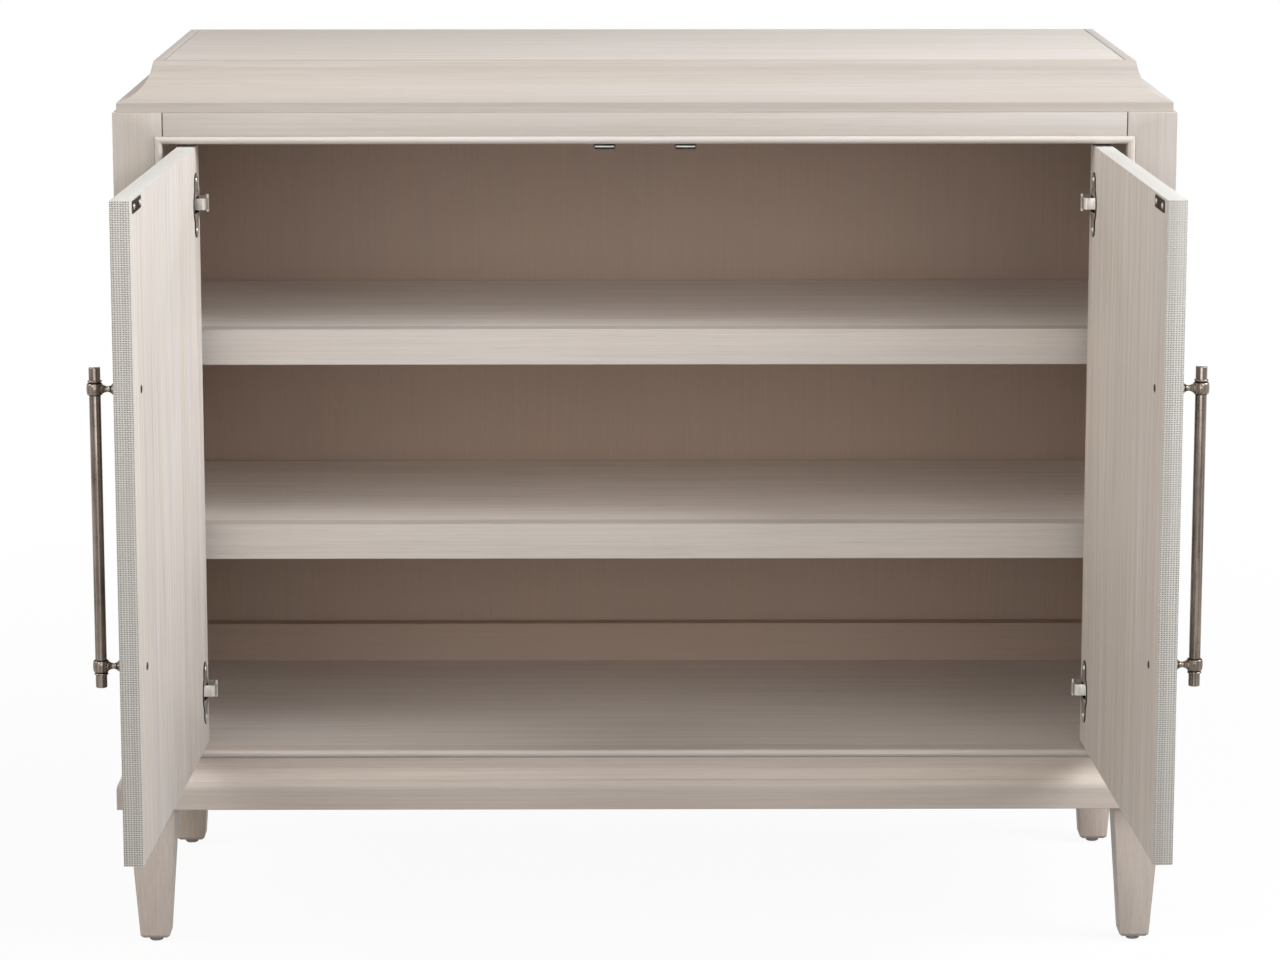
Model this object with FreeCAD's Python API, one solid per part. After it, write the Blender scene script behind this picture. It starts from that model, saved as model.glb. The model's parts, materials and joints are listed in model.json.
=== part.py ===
"""Hall chest: a two-door cupboard on tapered legs, with its doors standing open.

Millimetres. +X is to the right, +Y to the back and +Z up. While the pieces are made,
Y is 0 on the front of the face frame. Every piece is then moved along Y so that the
origin is on the floor, under the middle of the box round the chest with its doors open.
"""
import FreeCAD, Part
import math
import os

V = FreeCAD.Vector
UP = V(0, 0, 1)

# Overall sizes
plinth_width = 1118.0
chest_depth = 457.0
base_step = 10.0

# Heights, from the floor up
glide_height = 5.0
leg_height = 147.0
plinth_height = 21.0
slope_height = 21.5
band_height = 12.0
opening_height = 643.0
top_rail_height = 32.5
lip_height = 10.0
cove_rise = 34.0
top_edge_height = 6.0

# Case
stile_width = 51.0
stile_thickness = 22.0
side_thickness = 19.0
panel_thickness = 19.0
back_thickness = 6.0
back_rabbet = 10.0
back_rail_height = 44.0
back_rail_thickness = 20.0
base_back_thickness = 16.0

# Moulded top
lip_inset = 4.0
cove_run = 34.0
cove_sagitta = 7.5
top_edge_lean = 1.5
strip_width = 10.0
ledge_width = 15.0
cleat_thickness = 22.0

# Base moulding, measured out from the case
cove_foot_out = 5.6
quirk = 0.8
slope_cove_share = 0.53
slope_sagitta = 0.9

# Bead round the opening
bead_width = 8.0
bead_depth = 10.0
bead_proud = 3.0

# Legs
leg_top = 51.0
leg_foot = 31.0
foot_chamfer = 3.0
glide_radius = 7.5
glide_chamfer = 1.2
glide_stem_radius = 2.0
glide_stem_length = 18.0
block_leg = 62.0
block_height = 38.0
bolt_radius = 4.0
bolt_offset = 8.0
bolt_in_leg = 55.0
bolt_in_block = 30.0

# Shelves
upper_shelf_height = 441.0
lower_shelf_height = 232.0
shelf_setback = 61.0
shelf_side_gap = 1.5
shelf_back_gap = 2.0
shelf_front_height = 38.0
shelf_front_depth = 22.0
pin_hole_pitch = 32.0
pin_holes_each_way = 1
shelf_pin_radius = 2.5
shelf_pin_in = 10.0
shelf_pin_out = 9.0
front_pin_setback = 47.0
back_pin_setback = 41.0

# Doors
door_thickness = 19.0
door_gap = 3.0
skin = 0.8
open_angle = 92.0

# Hinges
hinge_setback = 60.0
pivot_inset = 24.5
pivot_depth = 9.5
cup_radius = 17.5
cup_depth = 13.5
cup_wall = 1.0
cup_offset = 7.5
flange_length = 67.0
flange_width = 22.0
flange_rim = 2.0
flange_thickness = 1.2
pivot_radius = 1.4
pivot_clearance = 0.05
knuckle_radius = 2.6
arm_height = 12.0
arm_thickness = 2.0
arm_reach = 19.0
arm_bend = 4.0
arm_plate_share = 0.9
rivet_radius = 2.0
rivet_length = 18.0
rivet_back = 14.0
swing_clearance = 2.0
plate_width = 24.0
plate_height = 50.0
plate_inset = 4.0
plate_round = 3.0

# Catches
catch_center = 42.0
catch_width = 24.0
catch_height = 9.0
catch_depth = 27.0
catch_slot_width = 20.0
catch_slot_height = 3.2
catch_slot_depth = 5.0
catch_gap = 0.5
catch_block_width = 140.0
catch_block_depth = 38.0
strike_length = 52.0
strike_height = 12.0
strike_thickness = 1.2
strike_drop = 2.0
strike_round = 1.5

# Pulls
pull_inset = 50.0
pull_spacing = 268.0
pull_length = 310.0
bar_radius = 5.5
bar_chamfer = 0.7
bar_standoff = 25.0
bar_fit = 0.03
collar_radius = 7.9
collar_height = 12.5
collar_chamfer = 1.6
ring_radius = 6.9
ring_height = 2.8
post_waist_radius = 2.9
post_flare_radius = 6.0
pull_screw_radius = 2.0
pull_screw_head_radius = 4.2
pull_screw_head_height = 2.6
pull_screw_in_post = 11.0
screw_clearance = 0.05

# Levels and planes that follow from the sizes
half_case = plinth_width / 2 - base_step
half_opening = half_case - stile_width
half_inside = half_case - side_thickness
case_back = chest_depth - base_step
inside_back = case_back - back_thickness
z_base = glide_height + leg_height
z_plinth = z_base + plinth_height
z_band = z_plinth + slope_height
z_sill = z_band + band_height
z_floor = z_sill + bead_width
z_head = z_floor + opening_height
z_case = z_head + top_rail_height
z_lip = z_case + lip_height
z_cove = z_lip + cove_rise
z_top = z_cove + top_edge_height
bead_back = bead_depth - bead_proud
face_y = -bead_proud
inner_y = face_y + door_thickness
hinge_edge_x = -half_opening + door_gap
free_edge_x = -door_gap / 2
door_foot = z_floor + door_gap
door_head = z_head - door_gap
pivot_x = -half_opening + pivot_inset
pivot_y = face_y + pivot_depth
shelf_split = shelf_setback + shelf_front_depth
pin_rows = (shelf_split + front_pin_setback, inside_back - back_pin_setback)
swing_radius = math.hypot(pivot_x - hinge_edge_x, max(pivot_depth, door_thickness - pivot_depth))
hinge_heights = (door_foot + hinge_setback, door_head - hinge_setback)
turn = math.radians(open_angle)
door_reach = (pivot_y - (free_edge_x - pivot_x) * math.sin(turn)
              + (inner_y - pivot_y) * math.cos(turn))
middle_y = (door_reach + case_back) / 2


def box(x0, x1, y0, y1, z0, z1):
    """Block between two corners."""
    return Part.makeBox(x1 - x0, y1 - y0, z1 - z0, V(x0, y0, z0))


def rod(radius, start, end):
    """Round bar from one point to another."""
    return Part.makeCylinder(radius, (end - start).Length, start, end - start)


def outline(place, start, *steps):
    """Closed face through (out, up) points: a step is a point, or (middle, point) for an arc."""
    here = start
    edges = []
    for step in steps + (start,):
        if isinstance(step[0], tuple):
            middle, end = step
            edges.append(Part.Arc(place(*here), place(*middle), place(*end)).toShape())
        else:
            end = step
            edges.append(Part.LineSegment(place(*here), place(*end)).toShape())
        here = end
    return Part.Face(Part.Wire(edges))


def prism(points, height):
    """Polygon raised by a vector."""
    return Part.Face(Part.makePolygon(list(points) + [points[0]])).extrude(height)


def bow(a, b, sagitta):
    """Middle point of an arc from a to b that stands off its chord, to the right of a to b."""
    across = (b[0] - a[0], b[1] - a[1])
    length = math.hypot(*across)
    return ((a[0] + b[0]) / 2 + across[1] / length * sagitta,
            (a[1] + b[1]) / 2 - across[0] / length * sagitta)


def mirrored(shape):
    """The same piece on the other side of the chest."""
    return shape.mirror(V(0, 0, 0), V(1, 0, 0))


def save(name, *solids):
    """Write one node, moved so that the origin is under the middle of the chest."""
    shape = solids[0] if len(solids) == 1 else Part.makeCompound(solids)
    moved = shape.copy()
    moved.translate(V(0, -middle_y, 0))
    moved.exportStep("parts/%s.step" % name)


def save_pair(name, *left):
    """Write a left-hand node and its mirror image."""
    save(name + "_left", *left)
    save(name + "_right", *[mirrored(solid) for solid in left])


def mitred_trio(profile, reach):
    """Front, left and right lengths of a moulding, mitred at the front corners.

    The profile is a list of (out from the case, up) steps, and reach is more than it spans.
    """
    def at_front(out, up):
        return V(-half_case - reach, -out, up)

    def at_left(out, up):
        return V(-half_case - out, -reach, up)

    front = outline(at_front, *profile).extrude(V(2 * (half_case + reach), 0, 0))
    left = outline(at_left, *profile).extrude(V(0, reach + case_back, 0))
    z = min(point[1] for point in profile if not isinstance(point[0], tuple))
    rise = V(0, 0, z_top - z)
    corner, inner = half_case + reach, half_case - reach
    front_region = prism([V(-corner, -reach, z), V(corner, -reach, z),
                          V(inner, reach, z), V(-inner, reach, z)], rise)
    left_region = prism([V(-corner, -reach, z), V(-inner, reach, z),
                         V(-inner, case_back, z), V(-corner, case_back, z)], rise)
    left = left.common(left_region).Solids[0]
    return front.common(front_region).Solids[0], left, mirrored(left)


def moulded_top():
    """Panel let into a coved moulding on three sides, over a cleat at the back."""
    edge = lip_inset + cove_run
    panel_inset = edge + top_edge_lean + strip_width
    ledge_inset = panel_inset + ledge_width
    z_ledge = z_top - panel_thickness
    lip_corner, cove_top = (-lip_inset, z_lip), (-edge, z_cove)
    profile = [(-lip_inset, z_case), lip_corner, (bow(cove_top, lip_corner, cove_sagitta), cove_top),
               (-edge - top_edge_lean, z_top), (-panel_inset, z_top), (-panel_inset, z_ledge),
               (-ledge_inset, z_ledge), (-ledge_inset, z_case)]
    front, left, right = mitred_trio(profile, ledge_inset + strip_width)
    save("top_cove_front", front)
    save("top_cove_left", left)
    save("top_cove_right", right)
    half_panel = half_case - panel_inset
    save("top_panel", box(-half_panel, half_panel, panel_inset, case_back, z_ledge, z_top))
    half_cleat = half_case - ledge_inset
    save("top_back_cleat", box(-half_cleat, half_cleat, case_back - cleat_thickness, case_back,
                               z_case, z_ledge))


def base():
    """Plinth with a cove and a round above it, mitred at the front, and a plain back rail."""
    quirk_z = z_plinth + slope_height * (1 - slope_cove_share)
    cove_top, cove_foot = (0.0, z_band), (cove_foot_out, quirk_z)
    round_top, round_foot = (cove_foot_out + quirk, quirk_z), (base_step, z_plinth)
    shared = [(base_step, z_base), round_foot, (bow(round_foot, round_top, slope_sagitta), round_top),
              cove_foot, (bow(cove_foot, cove_top, -slope_sagitta), cove_top), (0.0, z_sill)]
    reach = base_step + stile_thickness + side_thickness
    front_profile = shared + [(-stile_thickness, z_sill), (-stile_thickness, z_base)]
    side_profile = shared + [(-side_thickness, z_sill), (-side_thickness, z_base)]
    front = mitred_trio(front_profile, reach)[0]
    left = mitred_trio(side_profile, reach)[1]
    left = left.cut(front)
    sill = box(-half_opening, half_opening, bead_back, stile_thickness, z_sill, z_floor)
    save("base_front", front.fuse(sill).removeSplitter().Solids[0])
    save_pair("base_side", left.Solids[0])
    save("base_back", box(-half_inside, half_inside, inside_back - base_back_thickness, inside_back,
                          z_base, z_floor - panel_thickness))


def legs():
    """Four tapered legs with their glides, and the blocks and bolts that hold them."""
    middle = half_case - leg_top / 2
    made = {"leg_front": leg_top / 2, "leg_back": case_back - leg_top / 2}
    inside_corner = {"leg_front": stile_thickness, "leg_back": inside_back - base_back_thickness}
    glides, blocks, bolts = [], [], []
    for name, y in made.items():
        inward = 1 if name == "leg_front" else -1
        foot, top = leg_foot / 2, leg_top / 2
        leg = Part.makeWedge(-foot, 0, -foot, -top, -top, foot, leg_height, foot, top, top)
        leg.rotate(V(0, 0, 0), V(1, 0, 0), 90)
        leg.translate(V(-middle, y, glide_height))
        foot_edges = [e for e in leg.Edges if e.BoundBox.ZMax < glide_height + foot_chamfer]
        leg = leg.makeChamfer(foot_chamfer, foot_edges)
        bolt_x, bolt_y = -middle + bolt_offset, y + inward * bolt_offset
        low, high = V(bolt_x, bolt_y, z_base - bolt_in_leg), V(bolt_x, bolt_y, z_base + bolt_in_block)
        bolt_hole = rod(bolt_radius + screw_clearance, low, high)
        stem_foot = V(-middle, y, glide_height)
        stem_top = stem_foot + UP * glide_stem_length
        leg = leg.cut(bolt_hole).cut(rod(glide_stem_radius + screw_clearance, stem_foot, stem_top))
        save_pair(name, leg)
        pad = Part.makeCylinder(glide_radius, glide_height, V(-middle, y, 0))
        floor_edge = [e for e in pad.Edges if e.BoundBox.ZMax < glide_height / 2]
        pad = pad.makeChamfer(glide_chamfer, floor_edge)
        glides.append(pad.fuse(rod(glide_stem_radius, stem_foot, stem_top)).removeSplitter())
        corner = V(-half_inside, inside_corner[name], z_base)
        block = prism([corner, corner + V(block_leg, 0, 0), corner + V(0, inward * block_leg, 0)],
                      V(0, 0, block_height))
        blocks.append(block.cut(bolt_hole))
        bolts.append(rod(bolt_radius, low, high))
    for name, solids in (("glides", glides), ("corner_blocks", blocks), ("leg_bolts", bolts)):
        save(name, *(solids + [mirrored(solid) for solid in solids]))


def shelf_levels():
    """Top of each shelf, by name."""
    return {"shelf_upper": z_floor + upper_shelf_height, "shelf_lower": z_floor + lower_shelf_height}


def sides():
    """Side panels, rabbeted for the back and bored for the shelf pins."""
    side = box(-half_case, -half_inside, stile_thickness, case_back, z_sill, z_case)
    rabbet = box(-half_inside - back_rabbet, -half_inside, inside_back, case_back, z_sill, z_case)
    holes = [rabbet]
    for level in shelf_levels().values():
        pin_z = level - panel_thickness - shelf_pin_radius
        for step in range(-pin_holes_each_way, pin_holes_each_way + 1):
            for y in pin_rows:
                mouth = V(-half_inside, y, pin_z + step * pin_hole_pitch)
                end = mouth - V(shelf_pin_in, 0, 0)
                holes.append(rod(shelf_pin_radius + screw_clearance, end, mouth))
    save_pair("side_panel", side.cut(Part.makeCompound(holes)))


def shelves():
    """Two shelves with deep front edges, each on four pins."""
    half = half_inside - shelf_side_gap
    back = inside_back - shelf_back_gap
    pins = []
    for name, level in shelf_levels().items():
        under = level - panel_thickness
        save(name, box(-half, half, shelf_split, back, under, level))
        save(name + "_front", box(-half, half, shelf_setback, shelf_split,
                                  level - shelf_front_height, level))
        for y in pin_rows:
            tail = V(-half_inside - shelf_pin_in, y, under - shelf_pin_radius)
            pin = rod(shelf_pin_radius, tail, tail + V(shelf_pin_in + shelf_pin_out, 0, 0))
            pins += [pin, mirrored(pin)]
    save("shelf_pins", *pins)


def face_frame():
    """Stiles and top rail, rabbeted for the bead, and the four mitred lengths of bead."""
    rabbet_x, rabbet_z = half_opening + bead_width, z_head + bead_width
    rabbet = box(-rabbet_x, rabbet_x, 0, bead_back, z_sill, rabbet_z)
    stile = box(-half_case, -half_opening, 0, stile_thickness, z_sill, z_case)
    save_pair("stile", stile.cut(rabbet))
    rail = box(-half_opening, half_opening, 0, stile_thickness, z_head, z_case)
    save("top_rail", rail.cut(rabbet))

    nose = bead_width / 2
    shoulder = face_y + nose

    def section(place):
        return outline(place, (0, bead_back), (0, shoulder), ((nose, face_y), (bead_width, shoulder)),
                       (bead_width, bead_back))

    def region(points):
        return prism([V(x, face_y, z) for x, z in points], V(0, bead_depth, 0))

    middle_z = (z_sill + rabbet_z) / 2
    far = rabbet_x - (rabbet_z - middle_z)
    upright = section(lambda out, y: V(-rabbet_x + out, y, z_sill)).extrude(V(0, 0, rabbet_z - z_sill))
    left = region([(-rabbet_x, z_sill), (-far, middle_z), (-rabbet_x, rabbet_z)])
    save_pair("bead", upright.common(left).Solids[0])
    for name, z, sign in (("bead_top", rabbet_z, -1), ("bead_bottom", z_sill, 1)):
        level = section(lambda out, y: V(-rabbet_x, y, z + sign * out)).extrude(V(2 * rabbet_x, 0, 0))
        wedge = region([(-rabbet_x, z), (rabbet_x, z), (far, middle_z), (-far, middle_z)])
        save(name, level.common(wedge).Solids[0])


def inner_panels():
    """Floor, top board, back, back rail and the block for the catches."""
    save("deck", box(-half_inside, half_inside, stile_thickness, inside_back,
                     z_floor - panel_thickness, z_floor))
    save("sub_top", box(-half_inside, half_inside, stile_thickness, inside_back,
                        z_case - panel_thickness, z_case))
    half_back = half_inside + back_rabbet
    save("back_panel", box(-half_back, half_back, inside_back, case_back, z_sill, z_case))
    save("back_rail", box(-half_inside, half_inside, inside_back - back_rail_thickness, inside_back,
                          z_floor, z_floor + back_rail_height))
    half_block = catch_block_width / 2
    block_back = stile_thickness + catch_block_depth
    save("catch_block", box(-half_block, half_block, stile_thickness, block_back,
                            z_head, z_case - panel_thickness))


def catches():
    """Two slotted magnetic catches under the top rail."""
    front = inner_y + strike_thickness + catch_gap
    half = catch_width / 2
    body = box(-catch_center - half, -catch_center + half, front, front + catch_depth,
               z_head - catch_height, z_head)
    half_slot, half_rise = catch_slot_width / 2, catch_slot_height / 2
    slot_z = z_head - catch_height / 2
    slot = box(-catch_center - half_slot, -catch_center + half_slot, front, front + catch_slot_depth,
               slot_z - half_rise, slot_z + half_rise)
    save_pair("catch", body.cut(slot))


def hinge_arm(z):
    """Bent arm from the pivot in the cup, round the edge of the open door, to its mounting plate."""
    back = swing_radius + swing_clearance + arm_thickness / 2
    tail = -pivot_inset - plate_inset - plate_width * arm_plate_share

    def at(x, y):
        return V(pivot_x + x, pivot_y + y, z)

    b = arm_bend
    c = b * (1 - math.sqrt(0.5))
    path = Part.Wire([
        Part.LineSegment(at(0, 0), at(arm_reach - b, 0)).toShape(),
        Part.Arc(at(arm_reach - b, 0), at(arm_reach - c, c), at(arm_reach, b)).toShape(),
        Part.LineSegment(at(arm_reach, b), at(arm_reach, back - b)).toShape(),
        Part.Arc(at(arm_reach, back - b), at(arm_reach - c, back - c),
                 at(arm_reach - b, back)).toShape(),
        Part.LineSegment(at(arm_reach - b, back), at(tail, back)).toShape()])
    t, h = arm_thickness / 2, V(0, 0, arm_height / 2)
    corners = [at(0, -t) - h, at(0, t) - h, at(0, t) + h, at(0, -t) + h]
    strip = path.makePipeShell([Part.makePolygon(corners + [corners[0]])], True, False)
    knuckle = rod(knuckle_radius, at(0, 0) - h, at(0, 0) + h)
    half_rivet = V(0, 0, rivet_length / 2)
    corner = at(arm_reach, rivet_back)
    rivet = rod(rivet_radius, corner - half_rivet, corner + half_rivet)
    bore = rod(pivot_radius + pivot_clearance, at(0, 0) - h, at(0, 0) + h)
    return strip.fuse([knuckle, rivet]).cut(bore).Solids[0]


def hinge_plate(z):
    """Plate on the back of the stile that carries a hinge arm."""
    front = stile_thickness
    back = pivot_y + swing_radius + swing_clearance
    edge = -half_opening - plate_inset
    plate = box(edge - plate_width, edge, front, back, z - plate_height / 2, z + plate_height / 2)
    corners = [e for e in plate.Edges if e.BoundBox.YLength > (back - front) / 2]
    return plate.makeFillet(plate_round, corners)


def hinge_cup(z):
    """Dished cup with a long flange, let into the inner face of the door."""
    center = V(pivot_x + cup_offset, inner_y, z)
    into = V(0, -1, 0)
    dish = Part.makeCylinder(cup_radius, cup_depth, center, into)
    inside = Part.makeCylinder(cup_radius - cup_wall, cup_depth - cup_wall, center, into)
    half, end = flange_width / 2, flange_length / 2 - flange_width / 2
    long = outline(lambda x, up: center + V(x, 0, up), (-half, -end), ((0, -end - half), (half, -end)),
                   (half, end), ((0, end + half), (-half, end)))
    flange = long.extrude(V(0, flange_thickness, 0))
    flange = flange.fuse(Part.makeCylinder(cup_radius + flange_rim, flange_thickness, center, -into))
    mouth = Part.makeCylinder(cup_radius - cup_wall, flange_thickness, center, -into)
    cup = dish.fuse(flange).cut(inside.fuse(mouth)).removeSplitter()
    axis, reach = V(pivot_x, pivot_y, z), V(0, 0, cup_radius)
    return cup.cut(rod(pivot_radius, axis - reach, axis + reach)).Solids[0]


def hinge_pin(z):
    """Pivot pin across the cup, with its ends in the cup's wall."""
    outer = math.sqrt(cup_radius ** 2 - (cup_offset + pivot_radius) ** 2)
    inner = math.sqrt((cup_radius - cup_wall) ** 2 - cup_offset ** 2)
    half = (outer + inner) / 2
    return rod(pivot_radius, V(pivot_x, pivot_y, z - half), V(pivot_x, pivot_y, z + half))


def pull_heights():
    """Height of each post of a pull, with the side that its ring is on."""
    middle = (door_foot + door_head) / 2
    return ((middle - pull_spacing / 2, -1), (middle + pull_spacing / 2, 1))


def pull_post(z, side):
    """Waisted post and barrel collar in one piece, with a ring towards the end of the bar."""
    x, y = free_edge_x - pull_inset, face_y - bar_standoff
    reach = bar_standoff - collar_radius / 2
    stem = outline(lambda r, out: V(x + r, face_y - out, z), (0.0, 0.0), (post_flare_radius, 0.0),
                   ((post_waist_radius, reach / 2), (post_flare_radius, reach)), (0.0, reach))
    stem = stem.revolve(V(x, face_y, z), V(0, 1, 0), 360)
    low, high = -collar_height / 2, collar_height / 2
    crown = collar_radius - collar_chamfer
    ring_top = high + ring_height
    barrel = outline(lambda r, up: V(x + r, y, z + side * up), (0.0, low), (crown, low),
                     (collar_radius, low + collar_chamfer), (collar_radius, high - collar_chamfer),
                     (crown, high), (ring_radius, high), (ring_radius, ring_top), (0.0, ring_top))
    barrel = barrel.revolve(V(x, y, z), UP, 360)
    span = V(0, 0, collar_height + ring_height)
    bore = rod(bar_radius + bar_fit, V(x, y, z) - span, V(x, y, z) + span)
    foot = V(x, face_y, z)
    tapped = rod(pull_screw_radius + screw_clearance, foot, foot - V(0, pull_screw_in_post, 0))
    return stem.fuse(barrel).cut(bore).cut(tapped).removeSplitter().Solids[0]


def pull_screw(z):
    """Screw from inside the door into a post, with its head let in flush."""
    x = free_edge_x - pull_inset
    tip = V(x, face_y - pull_screw_in_post, z)
    seat, face = V(x, inner_y - pull_screw_head_height, z), V(x, inner_y, z)
    head = rod(pull_screw_head_radius, seat, face)
    return rod(pull_screw_radius, tip, seat).fuse(head).removeSplitter()


def door():
    """Left door, made closed and then swung open about its pivot."""
    x0, x1 = hinge_edge_x, free_edge_x
    z0, z1 = door_foot, door_head
    pockets = [Part.makeCylinder(cup_radius, cup_depth, V(pivot_x + cup_offset, inner_y, z), V(0, -1, 0))
               for z in hinge_heights]
    pull_x = x1 - pull_inset
    for z, side in pull_heights():
        seat = V(pull_x, inner_y - pull_screw_head_height, z)
        pockets.append(rod(pull_screw_radius + screw_clearance, V(pull_x, face_y, z), seat))
        pockets.append(rod(pull_screw_head_radius + screw_clearance, seat, V(pull_x, inner_y, z)))
    bored = Part.makeCompound(pockets)
    hollow = box(x0 + skin, x1 - skin, face_y + skin, inner_y, z0 + skin, z1 - skin)
    wrap = box(x0, x1, face_y, inner_y, z0, z1).cut(hollow)
    core = box(x0 + skin, x1 - skin, face_y + skin, inner_y - skin, z0 + skin, z1 - skin)
    veneer = box(x0 + skin, x1 - skin, inner_y - skin, inner_y, z0 + skin, z1 - skin)
    bar_middle = V(pull_x, face_y - bar_standoff, (z0 + z1) / 2)
    half_bar = V(0, 0, pull_length / 2)
    bar = rod(bar_radius, bar_middle - half_bar, bar_middle + half_bar)
    bar = bar.makeChamfer(bar_chamfer, [e for e in bar.Edges if e.BoundBox.ZLength < bar_chamfer])
    strike_top = z1 - strike_drop
    strike = box(-catch_center - strike_length / 2, -catch_center + strike_length / 2,
                 inner_y, inner_y + strike_thickness, strike_top - strike_height, strike_top)
    through = [e for e in strike.Edges if max(e.BoundBox.XLength, e.BoundBox.ZLength) < strike_round]
    strike = strike.makeFillet(strike_round, through)
    pieces = {"door_core": [core.cut(bored)],
              "door_wrap": [wrap.cut(bored)],
              "door_veneer": [veneer.cut(bored)],
              "hinge_cups": [hinge_cup(z) for z in hinge_heights],
              "hinge_pins": [hinge_pin(z) for z in hinge_heights],
              "pull_bar": [bar],
              "pull_posts": [pull_post(z, side) for z, side in pull_heights()],
              "pull_screws": [pull_screw(z) for z, side in pull_heights()],
              "strike": [strike]}
    for name, solids in pieces.items():
        for solid in solids:
            solid.rotate(V(pivot_x, pivot_y, 0), UP, -open_angle)
        save_pair(name, *solids)


def main():
    """Make every piece of the chest."""
    os.makedirs("parts", exist_ok=True)
    moulded_top()
    base()
    legs()
    sides()
    shelves()
    face_frame()
    inner_panels()
    catches()
    save_pair("hinge_arms", *[hinge_arm(z) for z in hinge_heights])
    save_pair("hinge_plates", *[hinge_plate(z) for z in hinge_heights])
    door()


main()
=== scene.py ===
"""Dresses the hall chest: washed wood, woven door fronts, aged nickel pulls and concealed hinges.

Metres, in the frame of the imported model: +X to the right, +Y to the back, +Z up, origin on the floor.
"""
import json
import math

import bmesh
import bpy
from mathutils import Matrix, Vector


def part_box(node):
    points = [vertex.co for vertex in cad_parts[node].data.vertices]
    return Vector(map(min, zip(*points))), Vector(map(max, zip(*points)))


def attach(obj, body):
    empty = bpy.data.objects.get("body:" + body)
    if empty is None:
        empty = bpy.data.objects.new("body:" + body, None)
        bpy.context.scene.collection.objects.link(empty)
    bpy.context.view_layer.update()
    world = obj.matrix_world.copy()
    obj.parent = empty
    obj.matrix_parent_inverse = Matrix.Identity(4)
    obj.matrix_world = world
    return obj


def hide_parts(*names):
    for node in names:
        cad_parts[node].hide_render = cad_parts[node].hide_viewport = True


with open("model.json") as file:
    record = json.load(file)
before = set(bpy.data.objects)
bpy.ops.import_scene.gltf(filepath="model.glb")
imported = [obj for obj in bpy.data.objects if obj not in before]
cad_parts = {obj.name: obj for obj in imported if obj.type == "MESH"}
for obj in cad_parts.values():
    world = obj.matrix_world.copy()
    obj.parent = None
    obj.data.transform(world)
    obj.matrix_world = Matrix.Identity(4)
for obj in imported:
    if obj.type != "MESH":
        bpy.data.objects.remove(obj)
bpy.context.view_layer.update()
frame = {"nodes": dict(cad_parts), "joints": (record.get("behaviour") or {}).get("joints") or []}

bl_info = {
    "name": "Hall Chest",
    "version": (1, 0, 0),
    "blender": (4, 5, 0),
    "location": "3D View > Sidebar > Hall Chest",
    "description": "Washed wood, woven doors, nickel pulls and hinges for the hall chest",
    "category": "Object",
}

SIDES = ("left", "right")

# How each wooden node's grain runs
GRAIN = {
    "X": ["top_rail", "bead_top", "bead_bottom", "sub_top", "top_panel", "top_cove_front",
          "top_back_cleat", "deck", "back_rail", "shelf_upper", "shelf_lower", "shelf_upper_front",
          "shelf_lower_front", "base_front", "base_back", "catch_block", "corner_blocks"],
    "Y": ["top_cove_left", "top_cove_right", "base_side_left", "base_side_right"],
    "Z": ["side_panel_left", "side_panel_right", "stile_left", "stile_right", "bead_left",
          "bead_right", "back_panel", "leg_front_left", "leg_front_right", "leg_back_left",
          "leg_back_right"],
}

# How much paler or darker each board's wash is than the usual: painted light and shade, which stands in for
# how much light falls on each board. door_ stands for a door's inner face
PAINTED_LIGHT_SCALE = {
    "shelf_upper": 1.34, "shelf_lower": 1.30, "shelf_upper_front": 1.04, "shelf_lower_front": 1.06,
    "deck": 1.04, "top_panel": 1.08, "top_cove_front": 0.85, "top_rail": 0.91, "stile_left": 0.92,
    "stile_right": 0.94, "bead_bottom": 1.10, "base_front": 0.98, "leg_front_left": 1.22,
    "leg_front_right": 1.08, "leg_back_left": 1.25, "leg_back_right": 1.20, "door_left": 1.18,
    "door_right": 1.19,
}

# The wash is warmer on the lower pieces, and warmest on the back legs, by how their names start
WARMTH = {"leg_back": (1.10, 0.985, 0.900), "leg_": (1.04, 0.985, 0.945), "base_": (1.04, 0.985, 0.945)}

# How strongly the grain shows, where it isn't the usual
FIGURE = {"back_": 0.4, "top_cove": 0.8, "top_rail": 0.8, "base_": 0.8, "stile_": 0.8, "leg_": 0.6,
          "shelf_upper_front": 0.6, "shelf_lower_front": 0.6}

# How glossy the boards are, where they aren't as usual
GLOSS = {"top_panel": 0.18, "top_cove": 0.05}

# Boards whose joints at their ends take the dark joint colour, painted shade in the gaps, and the way those
# joints run
JOINTS = {"top_rail": "Z", "top_panel": "Y"}

# Boards whose broken edges take the dark joint colour: painted shade along the joints
JOINT_SHADE_BOARDS = ("top_rail", "bead_", "top_panel")

# Mitred lengths, eased along their length and left sharp at the mitres
MITRED = ("top_cove", "base_front", "base_side", "bead_")

# Boards in the dark of the case
INNER = ("back_panel", "back_rail")

# How much further than usual the wash is rubbed off broken edges
EDGE_RUB = 0.20

# Points nearer than this are one
WELD = 2e-6

# Faces that turn less than the first are one, edges that turn more than the second are broken, and
# edges that turn more than the third shade as corners
FLAT, BROKEN, CORNER = math.radians(0.4), math.radians(24.0), math.radians(26.0)

# How far lips and screw heads are let into metal
LET_IN = 0.0001

WHITE = (1.0, 1.0, 1.0)

# Each lamp's place, the height that it aims at over the middle of the floor, its size and its colour
LAMPS = {
    "side_right": ((3.6, -0.9, 3.0), 0.5, (2.4, 2.4), (0.965, 1.0, 1.045)),
    "side_left": ((-3.6, -0.9, 3.0), 0.5, (2.4, 2.4), (1.025, 1.0, 0.950)),
    "front_high": ((0.0, -3.2, 3.6), 0.5, (3.4, 2.0), WHITE),
    "front_low": ((0.0, -5.2, 0.55), 0.3, (3.4, 0.9), WHITE),
    "front_right": ((1.9, -4.2, 2.4), 0.5, (2.4, 2.0), WHITE),
    "front_left": ((-1.9, -4.2, 2.0), 0.5, (2.4, 2.0), WHITE),
    "behind": ((0.0, 3.4, 0.55), 0.5, (3.0, 0.7), WHITE),
}


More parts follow.
